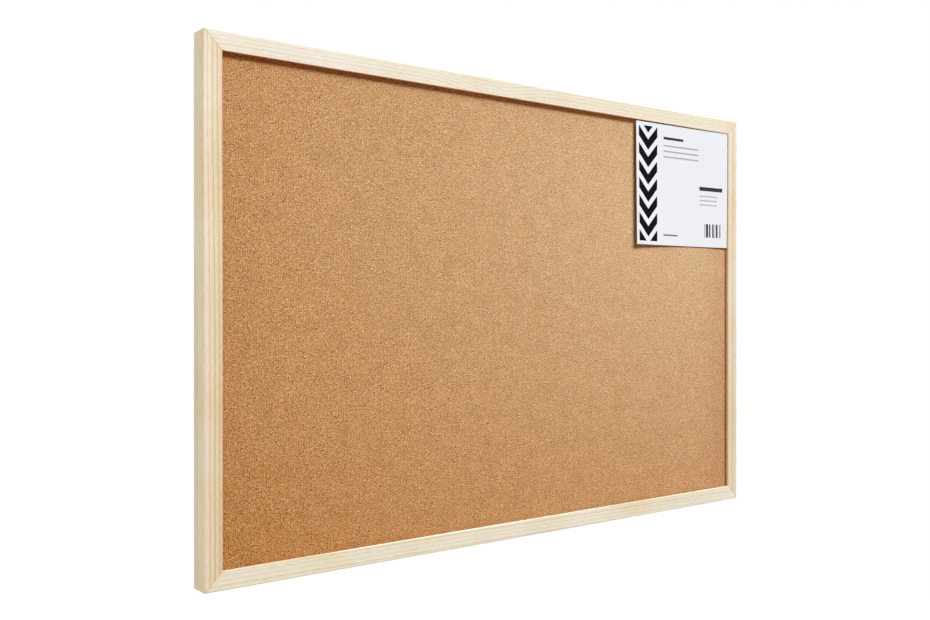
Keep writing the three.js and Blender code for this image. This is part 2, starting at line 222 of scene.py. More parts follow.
# Light and floor
FLOOR_DROP = 0.3
FLOOR_SIZE = 12
FLOOR_FADE = (0.3, 1.2)
AMBIENT = (0.02, 0.005, 0.001, 1.0)
FLOOR_BOUNCE = (0.27, 0.12, 0.06, 1.0)
FLOOR_COLOUR = (0.98, 0.86, 0.81, 1.0)
LAMP_COLOUR = (0.85, 0.945, 1.0)
KEY_POWER = 618
KEY_SIZE = (2.7, 1.45)
KEY_FROM_FACE = Vector((2.4, -3.1, 4.8))
GRAZE_POWER = 25
GRAZE_SIZE = (1.4, 0.8)
GRAZE_FROM_FACE = Vector((1.4, -0.55, 2.4))
SIDE_POWER = 44
SIDE_SIZE = (0.4, 1.4)
SIDE_FROM_FACE = Vector((-2.4, -0.12, 0.5))
BACK_POWER = 105
BACK_SIZE = (1.4, 1.4)
BACK_FROM_FACE = Vector((1.2, 2.9, 0.9))


def srgb(red, green, blue):
    """A colour as it looks on screen, from 0 to 255, as the linear colour that a shader takes."""
    shares = [c / 255 for c in (red, green, blue)]
    linear = [c / 12.92 if c <= 0.04045 else ((c + 0.055) / 1.055) ** 2.4 for c in shares]
    return (*linear, 1.0)


def grey(level):
    return (level, level, level, 1.0)


# Colours
WHITE = grey(1.0)
PINE_UNEVEN = srgb(250, 243, 230)
PINE_FIBRE = srgb(232, 222, 208)
PINE_GLUE = srgb(240, 228, 206)
PINE_RESIN = srgb(186, 140, 92)
# Painted shade on the outer sides of the moulding
PINE_SIDE_SHADE = srgb(238, 232, 222)
# Painted light on the inner walls: a warm bounce, and a dimmer tone on the bottom rail's upward wall
WALL_PAINTED_BOUNCE = srgb(255, 232, 194)
WALL_PAINTED_SHADE = srgb(243, 234, 225)
CORK_DARK = srgb(162, 96, 36)
CORK_BROWN = srgb(205, 153, 88)
CORK_TAN = srgb(235, 197, 146)
CORK_CREAM = srgb(254, 250, 233)
CORK_BARK = srgb(108, 54, 16)
CORK_FLECK = srgb(246, 226, 201)
# Painted haze and painted shade across the cork
CORK_PAINTED_HAZE = srgb(220, 183, 127)
CORK_PAINTED_DIM = (0.783, 0.531, 0.254, 1.0)
# Painted shade along the frame's lips
CORK_RIM_SHADE = (0.91, 0.82, 0.74, 1.0)
SOFTBOARD_DARK = srgb(120, 92, 62)
SOFTBOARD_PALE = srgb(176, 146, 108)
KRAFT_DARK = srgb(176, 134, 91)
KRAFT_PALE = srgb(191, 149, 104)
KRAFT_THREAD_DARK = srgb(112, 78, 48)
KRAFT_THREAD_PALE = srgb(214, 180, 138)
KRAFT_FLECK = srgb(92, 62, 38)
ZINC_CRYSTAL = srgb(188, 191, 196)
ZINC_RUBBED = srgb(112, 110, 107)
ZINC_BRIGHT = srgb(134, 137, 142)
STEEL_DULL = srgb(122, 122, 122)
PAPER_SHADE = srgb(235, 239, 243)
PAPER_LIGHT = srgb(242, 246, 250)
INK_BLACK = srgb(10, 10, 12)
INK_DARK = srgb(58, 60, 66)
INK_BAR = srgb(70, 72, 78)
INK_GREY = srgb(120, 123, 132)
INK_PALE = srgb(176, 179, 188)
INK_PALEST = srgb(186, 189, 198)


class Shader:
    """One procedural material.

    A value given to a method is a number, a colour or another node's socket.
    """

    def __init__(self, name):
        self.material = bpy.data.materials.new(name)
        self.material.use_nodes = True
        self.tree = self.material.node_tree
        self.surface = self.tree.nodes["Principled BSDF"]

    def put(self, socket, value):
        if isinstance(value, bpy.types.NodeSocket):
            self.tree.links.new(value, socket)
        else:
            socket.default_value = value

    def node(self, kind, **settings):
        made = self.tree.nodes.new(kind)
        for key, value in settings.items():
            setattr(made, key, value)
        return made

    def set(self, **values):
        """Sets the surface's sockets. Words in a name are joined by _."""
        for key, value in values.items():
            self.put(self.surface.inputs[key.replace("_", " ")], value)

    def position(self):
        return self.node("ShaderNodeTexCoord").outputs["Object"]

    def attribute(self, name):
        return self.node("ShaderNodeAttribute", attribute_name=name).outputs["Vector"]

    def split(self, vector):
        parts = self.node("ShaderNodeSeparateXYZ")
        self.put(parts.inputs[0], vector)
        return parts.outputs

    def join(self, x, y, z):
        made = self.node("ShaderNodeCombineXYZ")
        for socket, value in zip(made.inputs, (x, y, z)):
            self.put(socket, value)
        return made.outputs[0]

    def math(self, operation, *values):
        made = self.node("ShaderNodeMath", operation=operation)
        for socket, value in zip(made.inputs, values):
            self.put(socket, value)
        return made.outputs[0]

    def line(self, value, slope, start):
        """start, plus slope times value."""
        return self.math("MULTIPLY_ADD", value, slope, start)

    def product(self, first, *others):
        for other in others:
            first = self.math("MULTIPLY", first, other)
        return first

    def largest(self, first, *others):
        for other in others:
            first = self.math("MAXIMUM", first, other)
        return first

    def diagonal(self, first, second):
        """The straight way across, from two distances at right angles."""
        squares = self.math("ADD", self.product(first, first), self.product(second, second))
        return self.math("SQRT", squares)

    def between(self, value, low, high):
        """1 where value lies between low and high, and 0 elsewhere."""
        return self.product(self.math("GREATER_THAN", value, low), self.math("LESS_THAN", value, high))

    def rise(self, value, low, high):
        """Climbs smoothly from 0 at low to 1 at high."""
        made = self.node("ShaderNodeMapRange", interpolation_type="SMOOTHSTEP")
        for socket, number in zip(made.inputs, (value, low, high)):
            self.put(socket, number)
        return made.outputs[0]

    def noise(self, vector, scale, detail=2.0, roughness=0.5):
        made = self.node("ShaderNodeTexNoise")
        self.put(made.inputs["Vector"], vector)
        self.put(made.inputs["Scale"], scale)
        self.put(made.inputs["Detail"], detail)
        self.put(made.inputs["Roughness"], roughness)
        return made.outputs["Fac"]

    def cells(self, vector, scale, **settings):
        made = self.node("ShaderNodeTexVoronoi", **settings)
        self.put(made.inputs["Vector"], vector)
        self.put(made.inputs["Scale"], scale)
        return made.outputs

    def scatter(self, value):
        """A steady random number from 0 to 1 for each value."""
        made = self.node("ShaderNodeTexWhiteNoise", noise_dimensions="1D")
        self.put(made.inputs["W"], value)
        return made.outputs["Value"]

    def ramp(self, value, *stops):
        made = self.node("ShaderNodeValToRGB")
        elements = made.color_ramp.elements
        while len(elements) < len(stops):
            elements.new(0.5)
        for element, (place, colour) in zip(elements, stops):
            element.position = place
            element.color = colour
        self.put(made.inputs[0], value)
        return made.outputs["Color"]

    def mix(self, share, first, second, blend="MIX"):
        made = self.node("ShaderNodeMix", data_type="RGBA", blend_type=blend)
        self.put(made.inputs[0], share)
        self.put(made.inputs[6], first)
        self.put(made.inputs[7], second)
        return made.outputs[2]

    def tint(self, share, colour, tint):
        """The colour, multiplied by a tint to the given share."""
        return self.mix(share, colour, tint, "MULTIPLY")

    def bump(self, height, strength, distance):
        made = self.node("ShaderNodeBump")
        self.put(made.inputs["Height"], height)
        self.put(made.inputs["Strength"], strength)
        self.put(made.inputs["Distance"], distance)
        self.set(Normal=made.outputs[0])


# Materials


def pine(name, along, across, pith, spacing, run_out, early_wood, late_wood, wall_painted_light, seed,
         side_painted_shade, heart=(-2 * MM, -1 * MM), inward=WHITE, flame=(0.0, 1.0, 0.0),
         ends=(WHITE, WHITE)):
    """Clear pine, with the growth rings that one length of moulding cuts from the log.

    along is the grain's axis, and across the axis over the face with its outer edge and sign.
    pith is where the rings' centre lies from the outer front edge, spacing the width of a ring, and
    run_out the slope of the grain to the edge.
    flame is where along the length the rings bend toward the pith, how far that reaches and how deep.
    heart is where, from the outer edge, the rings come in and where they reach full strength.
    inward tints the inner edge, and ends the low and the high end of the length.
    The outer side's tint is painted shade, strongest on the top rail's upper face, and the inner wall's
    tint painted light and shade down to the cork.
    """
    shader = Shader(name)
    parts = shader.split(shader.position())
    length = parts[along]
    axis, edge, sign = across
    index = "XYZ".index(along)
    middle = (BOARD_LOW[index] + BOARD_HIGH[index]) / 2
    reach = (BOARD_HIGH[index] - BOARD_LOW[index]) / 2
    over = shader.line(parts[axis], sign, -sign * edge)
    depth = shader.math("SUBTRACT", parts["Y"], FACE_Y)
    own_length = shader.math("ADD", length, seed)
    stretched = shader.join(over, depth, shader.product(length, GRAIN_STRETCH))

    # Growth rings
    slow = shader.noise(shader.join(0.0, 0.0, own_length), GROWTH_WANDER_SCALE, detail=1.0)
    ragged = shader.noise(stretched, GROWTH_RAGGED_SCALE)
    wander = shader.line(slow, GROWTH_WANDER, shader.product(ragged, GROWTH_RAGGED))
    flame_middle, flame_reach, flame_depth = flame
    from_flame = shader.math("ABSOLUTE", shader.math("SUBTRACT", length, flame_middle))
    wander = shader.line(shader.rise(from_flame, flame_reach, 0.0), flame_depth, wander)
    from_pith = shader.math("ADD", shader.line(length, run_out, over), -pith[0])
    back = shader.math("ADD", depth, -pith[1])
    radius = shader.math("ADD", shader.diagonal(from_pith, back), wander)
    rings = shader.math("DIVIDE", radius, spacing)
    number = shader.math("FLOOR", rings)
    late = shader.ramp(
        shader.math("FRACT", rings),
        (0.0, grey(0.6)),
        (0.06, grey(0.0)),
        (0.5, grey(0.08)),
        (0.82, grey(0.5)),
        (0.96, grey(1.0)),
    )
    strength = shader.line(shader.scatter(shader.math("ADD", number, seed)), 0.5, 0.5)
    late_share = shader.product(late, strength, shader.rise(over, *heart))

    # Fibres and uneven tone
    fibre = shader.noise(stretched, FIBRE_SCALE, detail=3.0, roughness=0.6)
    tone = shader.noise(shader.join(over, depth, own_length), TONE_SCALE)
    streak = shader.ramp(fibre, (0.3, PINE_FIBRE), (0.6, WHITE))
    colour = shader.mix(late_share, early_wood, late_wood)
    colour = shader.tint(shader.rise(over, 0.0, RAIL_WIDTH), colour, inward)
    colour = shader.tint(shader.rise(tone, 0.35, 0.75), colour, PINE_UNEVEN)
    colour = shader.tint(FIBRE_STRENGTH, colour, streak)

    # Painted shade on the outer side, and the change from end to end of the other faces
    side = shader.product(shader.rise(over, *OUTER_SIDE_OVER), shader.rise(depth, *OUTER_SIDE_DEPTH))
    colour = shader.tint(side, colour, side_painted_shade)
    end_tint = shader.mix(shader.rise(length, middle - reach, middle + reach), *ends)
    colour = shader.tint(shader.math("SUBTRACT", 1.0, side), colour, end_tint)

    # Painted light and shade on the inner wall: a warm bounce on most walls, a dimmer tone on the bottom
    # rail's upward wall
    wall = shader.product(shader.rise(over, *INNER_WALL_OVER), shader.rise(depth, *INNER_WALL_DEPTH))
    colour = shader.tint(wall, colour, wall_painted_light)

    # A fine glue line at the mitres
    from_middle = shader.math("ABSOLUTE", shader.math("SUBTRACT", length, middle))
    to_mitre = shader.math("SUBTRACT", shader.math("SUBTRACT", reach, from_middle), over)
    colour = shader.tint(shader.rise(to_mitre, *GLUE_LINE), colour, PINE_GLUE)

    # Resin canals: short fine dashes along the grain
    canal_place = shader.join(over, depth, shader.product(length, CANAL_STRETCH))
    canals = shader.rise(shader.noise(canal_place, CANAL_SCALE, detail=1.0), 0.7, 0.78)
    colour = shader.mix(shader.product(canals, CANAL_STRENGTH), colour, PINE_RESIN)

    shader.set(Base_Color=colour, Roughness=shader.line(fibre, 0.2, 0.5), Specular_IOR_Level=0.2)
    shader.bump(shader.line(late_share, 0.5, fibre), 0.25, PINE_RELIEF)
    return shader.material


def cork():
    """Fine agglomerated cork: grains and granules of several tones, bark specks and pale flecks."""
    shader = Shader("cork")
    place = shader.position()
    parts = shader.split(place)

    # Grains of two sizes, and larger granules with pale or dark middles
    grain = shader.cells(place, GRAIN_SCALE)
    tone = shader.split(grain["Color"])["X"]
    fine_tone = shader.split(shader.cells(place, FINE_GRAIN_SCALE)["Color"])["Y"]
    face_place = shader.join(parts["X"], parts["Z"], 0.0)
    granule = shader.cells(face_place, GRANULE_SCALE, voronoi_dimensions="2D")
    shade = shader.line(granule["Distance"], *GRANULE_SHADE)
    turn = shader.line(shader.split(granule["Color"])["X"], *GRANULE_TURN)
    blended = shader.line(shade, turn, GRANULE_LEVEL)
    blended = shader.line(tone, GRAIN_SHARE, blended)
    blended = shader.line(fine_tone, FINE_GRAIN_SHARE, blended)
    colour = shader.ramp(
        blended,
        (0.16, CORK_DARK),
        (0.38, CORK_BROWN),
        (0.6, CORK_TAN),
        (0.82, CORK_CREAM),
    )

    # Bark specks, pale flecks and a faint mottle
    speck_cells = shader.cells(place, SPECK_SCALE)
    speck = shader.split(speck_cells["Color"])["Z"]
    near = shader.math("LESS_THAN", speck_cells["Distance"], SPECK_SIZE)
    bark = shader.product(shader.math("GREATER_THAN", speck, BARK_ABOVE), near, BARK_STRENGTH)
    pale = shader.product(shader.math("LESS_THAN", speck, PALE_BELOW), near, PALE_STRENGTH)
    mottle = shader.noise(place, MOTTLE_SCALE, roughness=0.6)
    colour = shader.mix(bark, colour, CORK_BARK)
    colour = shader.mix(pale, colour, CORK_FLECK)
    colour = shader.tint(1.0, colour, shader.ramp(mottle, (0.3, grey(0.87)), (0.7, WHITE)))

    # Painted light: paler and hazier toward a place high on the right, and painted shade, darker and
    # deeper, further from it
    sideways = shader.line(parts["X"], PAINTED_LIGHT_STRETCH, -PAINTED_LIGHT_STRETCH * PAINTED_LIGHT_X)
    downward = shader.math("SUBTRACT", parts["Z"], PAINTED_LIGHT_Z)
    from_painted_light = shader.math("DIVIDE", shader.diagonal(sideways, downward), PAINTED_LIGHT_REACH)
    painted_haze = shader.line(from_painted_light, -PAINTED_HAZE_STRENGTH, PAINTED_HAZE_STRENGTH)
    colour = shader.mix(painted_haze, colour, CORK_PAINTED_HAZE)
    colour = shader.tint(1.0, colour, shader.ramp(from_painted_light, (0.0, WHITE), (1.0, CORK_PAINTED_DIM)))

    # Painted shade: darker along the frame's lips, and from further in at the right
    to_left = shader.math("SUBTRACT", parts["X"], OPENING_LOW.x)
    to_right = shader.math("SUBTRACT", OPENING_HIGH.x, parts["X"])
    to_bottom = shader.math("SUBTRACT", parts["Z"], OPENING_LOW.z)
    rim = shader.largest(
        shader.rise(to_left, RIM_SHADE_REACH, 0.0),
        shader.rise(to_bottom, RIM_SHADE_REACH, 0.0),
        shader.rise(to_right, RIM_SHADE_REACH_RIGHT, 0.0),
    )
    colour = shader.tint(rim, colour, CORK_RIM_SHADE)

    # Gloss of the grains, and a sheen that is stronger toward the painted light
    gloss = shader.rise(blended, 0.15, 0.8)
    sheen_fade = shader.line(from_painted_light, -0.4, 1.0)
    haze = shader.product(sheen_fade, shader.line(gloss, 0.28, 0.12))
    shader.set(Base_Color=colour, Roughness=shader.line(tone, 0.1, 0.34))
    shader.set(Specular_IOR_Level=shader.line(gloss, 0.08, 0.02))
    shader.set(Sheen_Weight=haze, Sheen_Roughness=0.585)
    height = shader.line(grain["Distance"], -0.8, shader.product(blended, 0.6))
    shader.bump(height, 0.45, CORK_GRAIN_RELIEF)
    return shader.material


def softboard():
    """Pressed wood fibre, brown and hairy."""
    shader = Shader("softboard")
    hair = shader.noise(shader.position(), HAIR_SCALE, detail=5.0, roughness=0.7)
    colour = shader.ramp(hair, (0.3, SOFTBOARD_DARK), (0.7, SOFTBOARD_PALE))
    shader.set(Base_Color=colour, Roughness=0.95)
    shader.bump(hair, 0.6, HAIR_RELIEF)
    return shader.material


def kraft():
    """Brown kraft liner with cloudy formation, machine lines, threads of fibre and dark flecks."""
    shader = Shader("kraft_liner")
    place = shader.position()
    parts = shader.split(place)
    cloud = shader.noise(place, CLOUD_SCALE, detail=4.0, roughness=0.6)
    drawn_out = shader.join(shader.product(parts["X"], MACHINE_LINE_STRETCH), parts["Y"], parts["Z"])
    lines = shader.noise(drawn_out, MACHINE_LINE_SCALE)
    strands = shader.join(shader.product(parts["X"], THREAD_STRETCH), parts["Y"], parts["Z"])
    threads = shader.noise(strands, THREAD_SCALE, detail=3.0, roughness=0.6)
    dark_threads = shader.rise(threads, 0.55, 0.7)
    pale_threads = shader.rise(threads, 0.45, 0.3)
    flecks = shader.math("LESS_THAN", shader.cells(place, FLECK_SCALE)["Distance"], FLECK_SIZE)
    colour = shader.ramp(cloud, (0.3, KRAFT_DARK), (0.7, KRAFT_PALE))
    line_tint = shader.ramp(lines, (0.35, grey(0.82)), (0.65, WHITE))
    colour = shader.tint(MACHINE_LINE_STRENGTH, colour, line_tint)
    colour = shader.mix(shader.product(dark_threads, DARK_THREAD_STRENGTH), colour, KRAFT_THREAD_DARK)
    colour = shader.mix(shader.product(pale_threads, PALE_THREAD_STRENGTH), colour, KRAFT_THREAD_PALE)
    colour = shader.mix(shader.product(flecks, FLECK_STRENGTH), colour, KRAFT_FLECK)
    shader.set(Base_Color=colour, Roughness=shader.line(cloud, 0.2, 0.6))
    shader.bump(shader.math("ADD", threads, lines), 0.3, LINER_RELIEF)
    return shader.material


def zinc(name, tint, roughness):
    """Zinc-plated steel with a faint crystal pattern and rubbed patches."""
    shader = Shader(name)
    place = shader.position()
    crystal = shader.split(shader.cells(place, CRYSTAL_SCALE)["Color"])["X"]
    rubbed = shader.noise(place, RUBBED_SCALE, detail=3.0)
    colour = shader.mix(shader.product(crystal, CRYSTAL_STRENGTH), tint, ZINC_CRYSTAL)
    colour = shader.mix(shader.rise(rubbed, 0.62, 0.8), colour, ZINC_RUBBED)
    varied = shader.line(rubbed, 0.25, roughness - 0.1)
    shader.set(Base_Color=colour, Metallic=1.0, Roughness=varied)
    shader.bump(rubbed, 0.1, STEEL_RELIEF)
    return shader.material


def card_paper():
    """Coated white card printed in black and grey: a chevron band, plain rules and bars, no words."""
    shader = Shader("printed_card")
    place = shader.attribute("print_place")
    parts = shader.split(place)
    x, z = parts["X"], parts["Z"]
    fibre = shader.noise(place, PAPER_SCALE, detail=4.0)
    paper = shader.ramp(fibre, (0.3, PAPER_SHADE), (0.7, PAPER_LIGHT))

    # Chevron band beside the left edge
    fold = shader.math("ABSOLUTE", shader.math("SUBTRACT", x, BAND_FOLD))
    climb = shader.math("DIVIDE", shader.math("ADD", z, fold), BAND_PITCH)
    stripe = shader.math("LESS_THAN", shader.math("FRACT", climb), BAND_INKED)
    band = shader.product(stripe, shader.between(x, *BAND_X), shader.between(z, *BAND_Z))
    ink = shader.mix(band, paper, INK_BLACK)

    # Plain rules in place of words: left, right, top, rows, pitch, height, ink
    blocks = [
        (40.0, 70.0, 12.0, 1, 5.0, 2.6, INK_DARK),
        (40.0, 94.0, 20.0, 3, 5.5, 1.5, INK_PALE),
        (96.0, 132.0, 58.0, 1, 6.0, 4.0, INK_DARK),
        (96.0, 124.0, 67.0, 3, 4.4, 1.3, INK_PALEST),
        (40.0, 62.0, 109.0, 1, 4.0, 1.6, INK_GREY),
    ]
    for left, right, top, rows, pitch, height, tone in blocks:
        down = shader.math("SUBTRACT", z, top)
        row = shader.math("FLOOR", shader.math("DIVIDE", down, pitch))
        into_row = shader.math("SUBTRACT", down, shader.product(row, pitch))
        in_row = shader.math("LESS_THAN", into_row, height)
        block = shader.product(shader.between(x, left, right), shader.between(down, 0.0, rows * pitch))
        ink = shader.mix(shader.product(block, in_row), ink, tone)

    # A block of plain bars
    bars = shader.scatter(shader.math("FLOOR", shader.product(x, BARS_PER_MM)))
    bar_block = shader.product(shader.between(x, *BARS_X), shader.between(z, *BARS_Z))
    inked = shader.product(bar_block, shader.math("GREATER_THAN", bars, 0.5))
    ink = shader.mix(inked, ink, INK_BAR)

    shader.set(Base_Color=ink, Roughness=shader.line(fibre, 0.1, 0.5), Specular_IOR_Level=0.03)
    shader.bump(fibre, 0.05, PAPER_RELIEF)
    return shader.material


# Meshes


def link_piece(name, mesh, material, body, slot, *nodes):
    """Adds a mesh to the scene as a piece that stands for frame nodes and rides on a body."""
    piece = bpy.data.objects.new(name, mesh)
    bpy.context.scene.collection.objects.link(piece)
    mesh.materials.clear()
    mesh.materials.append(material)
    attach(piece, body)
    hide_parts(*nodes)
    return piece


def smooth_by_angle(mesh, degrees):
    """Smooth faces, with edges sharper than the angle kept crisp."""
    mesh.polygons.foreach_set("use_smooth", np.ones(len(mesh.polygons), dtype=bool))
    mesh.set_sharp_from_angle(angle=math.radians(degrees))


def frame_mesh(node):
    """A copy of a frame node's mesh as a bmesh, with flat faces whole again."""
    made = bmesh.new()
    made.from_mesh(frame["nodes"][node].data)
    bmesh.ops.remove_doubles(made, verts=made.verts, dist=1e-6)
    bmesh.ops.dissolve_limit(
        made,
        angle_limit=math.radians(0.5),
        use_dissolve_boundaries=False,
        verts=made.verts,
        edges=made.edges,
    )
    return made


def to_mesh(made, name):
    mesh = bpy.data.meshes.new(name)
    made.to_mesh(mesh)
    made.free()
    return mesh


def cut_across(made, along_index, low, high):
    """Cuts a length into short steps between its mitres, so that it can wave and wear."""
    direction = Vector((0, 0, 0))
    direction[along_index] = 1
    count = int((high[along_index] - low[along_index] - 2 * RAIL_UNCUT_END) / RAIL_STEP)
    for step in range(count + 1):
        point = low.copy()
        point[along_index] += RAIL_UNCUT_END + step * RAIL_STEP
        geometry = made.verts[:] + made.edges[:] + made.faces[:]
        bmesh.ops.bisect_plane(made, geom=geometry, plane_co=point, plane_no=direction, dist=1e-7)


def add_moulding(node, along, across, material):
    """A length of moulding: the frame's shape with worn arrises, sanding waves and eased corners."""
    axis, edge, sign = across
    along_index = "XYZ".index(along)
    across_index = "XYZ".index(axis)
    made = frame_mesh(node)
    low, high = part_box(node)
    start, end = low[along_index], high[along_index]
    cut_across(made, along_index, low, high)
    for vertex in made.verts:
        over = sign * (vertex.co[across_index] - edge)
        deep = vertex.co.y - FACE_Y
        reach = vertex.co[along_index]
        wave_place = (reach * SANDING_PACE_ALONG, over * SANDING_PACE_ACROSS, deep * SANDING_PACE_ACROSS)
        wave = noise.noise(Vector(wave_place)) * SANDING_WAVE
        vertex.co.y += wave
        vertex.co[across_index] += wave * sign
        if over < ARRIS_REACH and deep < ARRIS_REACH:
            wear_place = (reach * ARRIS_PACE, edge * ARRIS_PACE_BY_EDGE, ARRIS_ROW)
            wear = max(0.0, noise.noise(Vector(wear_place)) - ARRIS_SPARED) * ARRIS_WEAR
            vertex.co[across_index] += wear * sign
            vertex.co.y += wear
        if over < CORNER_SKIN and min(reach - start, end - reach) < CORNER_REACH:
            inward = 1 if reach < (start + end) / 2 else -1
            vertex.co[along_index] += inward * CORNER_EASE
            vertex.co[across_index] += sign * CORNER_EASE / 3
    mesh = to_mesh(made, "pine_" + node)
    smooth_by_angle(mesh, degrees=32)
    piece = link_piece("pine_" + node, mesh, material, "board", "pine", node)
    flat_faces = piece.modifiers.new("flat_faces", "WEIGHTED_NORMAL")
    flat_faces.keep_sharp = True


def grid_sheet(low, high, step, front_lift, back_lift, name):
    """A closed sheet over X and Z between two corners. The lifts move each side's points along Y."""
    columns = max(2, round((high.x - low.x) / step)) + 1
    rows = max(2, round((high.z - low.z) / step)) + 1
    xs, zs = np.meshgrid(np.linspace(low.x, high.x, columns), np.linspace(low.z, high.z, rows))
    front = np.stack([xs, low.y + front_lift(xs, zs), zs], axis=-1).reshape(-1, 3)
    back = np.stack([xs, high.y + back_lift(xs, zs), zs], axis=-1).reshape(-1, 3)
    total = rows * columns
    points = np.arange(total).reshape(rows, columns)
    corners = [points[:-1, :-1], points[:-1, 1:], points[1:, 1:], points[1:, :-1]]
    quads = np.stack(corners, axis=-1).reshape(-1, 4)
    rim = np.concatenate([points[0, :-1], points[:-1, -1], points[-1, :0:-1], points[:0:-1, 0]])
    ahead = np.roll(rim, -1)
    walls = np.stack([ahead, rim, rim + total, ahead + total], axis=-1)
    faces = np.concatenate([quads, quads[:, ::-1] + total, walls])
    mesh = bpy.data.meshes.new(name)
    mesh.from_pydata(np.concatenate([front, back]).tolist(), [], faces.tolist())
    return mesh


def flat(xs, zs):
    """The lift of a plain side."""
    return np.zeros_like(xs)


def inside_opening(xs, zs):
    """How far each point lies inside the frame's opening."""
    return np.minimum.reduce([
        xs - OPENING_LOW.x,
        OPENING_HIGH.x - xs,
        zs - OPENING_LOW.z,
        OPENING_HIGH.z - zs,
    ])


def soften(values):
    """Averages each value with its four neighbours."""
    padded = np.pad(values, 1, mode="edge")
    sides = padded[:-2, 1:-1] + padded[2:, 1:-1] + padded[1:-1, :-2] + padded[1:-1, 2:]
    return (values * 2 + sides) / 6


def cork_relief(xs, zs):
    """Grain relief and pits on the pin face, fading out before the sheet goes under the frame's lip."""
    random = np.random.default_rng(CORK_SEED)
    bumps = soften(random.normal(0.0, 1.0, xs.shape)) * CORK_RELIEF
    for _ in range(CORK_PITS):
        row = random.integers(0, xs.shape[0])
        column = random.integers(0, xs.shape[1])
        bumps[row, column] += CORK_PIT_DEPTH * random.uniform(*CORK_PIT_SHARES)
    fade = np.clip(inside_opening(xs, zs) / CORK_LIP_FADE, 0.0, 1.0)
    return np.maximum(bumps, -CORK_RELIEF_LIMIT) * fade


def add_cork(material):
    mesh = grid_sheet(CORK_LOW, CORK_HIGH, CORK_STEP, cork_relief, flat, "cork_face")
    smooth_by_angle(mesh, degrees=60)
    link_piece("cork_face", mesh, material, "board", "cork", "cork_sheet")


def sway(along, across, pace, bend, bend_pace):
    """Waves along one way, whose crests wander across it."""
    return np.sin(along * pace + bend * np.sin(across * bend_pace))


def liner_ripple(xs, zs):
    """Faint glue ripples in the liner."""
    slow = sway(xs, zs, pace=71, bend=3, bend_pace=23)
    slow = slow * sway(zs, xs, pace=58, bend=2, bend_pace=17)
    return slow * LINER_RIPPLE * np.clip(inside_opening(xs, zs) / LINER_EDGE_FADE, 0.0, 1.0)


def add_liner(material):
    mesh = grid_sheet(LINER_LOW, LINER_HIGH, LINER_STEP, flat, liner_ripple, "kraft_back")
    smooth_by_angle(mesh, degrees=60)
    link_piece("kraft_back", mesh, material, "board", "liner", "back_liner")


def card_lift(xs, zs):
    """How far the card's back stands off the cork, by the distance from its left and top edges."""
    right = np.clip((xs - CARD_SEAT_LINE) / (CARD_WIDTH - CARD_SEAT_LINE), 0.0, 1.0)
    left = np.clip(1 - xs / CARD_SEAT_LINE, 0.0, 1.0)
    down = zs / CARD_HEIGHT
    left_lift = CARD_LIFT_TOP_LEFT + (CARD_LIFT_BOTTOM_LEFT - CARD_LIFT_TOP_LEFT) * down
    right_lift = CARD_LIFT_TOP_RIGHT + (CARD_LIFT_BOTTOM_RIGHT - CARD_LIFT_TOP_RIGHT) * down
    top_lift = CARD_LIFT_TOP * (1 - down)**2 * (1 - np.maximum(left, right)**2)
    return -(CARD_SEAT_GAP + right_lift * right**2 + left_lift * left**2 + top_lift)


def add_card(material):
    """The insert card, bowed, slightly turned, and set into the top right corner of the opening."""
    half = Vector((CARD_WIDTH / 2, 0, CARD_HEIGHT / 2))
    low = Vector((-half.x, -CARD_THICKNESS, -half.z))
    high = Vector((half.x, 0, half.z))

    def bow(xs, zs):
        return card_lift(xs + half.x, half.z - zs)

    mesh = grid_sheet(low, high, CARD_STEP, bow, bow, "insert_card")
    place = np.zeros((len(mesh.vertices), 3), dtype=np.float32)
    for index, vertex in enumerate(mesh.vertices):
        place[index] = ((vertex.co.x + half.x) / MM, vertex.co.y / MM, (half.z - vertex.co.z) / MM)
    attribute = mesh.attributes.new("print_place", "FLOAT_VECTOR", "POINT")
    attribute.data.foreach_set("vector", place.ravel())
    cos, sin = math.cos(CARD_TILT), math.sin(CARD_TILT)
    reach_right = half.x * cos + half.z * sin
    reach_up = half.x * sin + half.z * cos
    middle = Vector((
        OPENING_HIGH.x - CARD_EDGE_GAP - reach_right,
        CORK_LOW.y,
        OPENING_HIGH.z - CARD_EDGE_GAP - reach_up,
    ))
    mesh.transform(Matrix.Translation(middle) @ Matrix.Rotation(-CARD_TILT, 4, "Y"))
    smooth_by_angle(mesh, degrees=40)
    link_piece("insert_card", mesh, material, "card", "card", "label_card")


def ring_line():
    """Points along the middle of the ring's wire, hanging straight down from the origin."""
    half = RING_WIDTH / 2
    turn = RING_CORNER
    quarter = np.linspace(0, math.pi / 2, RING_CORNER_STEPS)
    half_turn = np.linspace(0, math.pi, RING_BOW_STEPS)
    right_bend = [(half - turn + turn * math.sin(a), -turn + turn * math.cos(a)) for a in quarter]
    bow = [(half * math.cos(a), -RING_DROP + half - half * math.sin(a)) for a in half_turn]
    left_bend = [(-x, z) for x, z in reversed(right_bend)]
    ends = RING_BUTT_GAP / 2
    corners = np.array([(ends, 0.0), *right_bend, *bow, *left_bend, (-ends, 0.0)])
    lengths = np.concatenate([[0], np.cumsum(np.linalg.norm(np.diff(corners, axis=0), axis=1))])
    even = np.linspace(0, lengths[-1], RING_STEPS)
    return np.stack([np.interp(even, lengths, corners[:, i]) for i in range(2)], axis=-1)


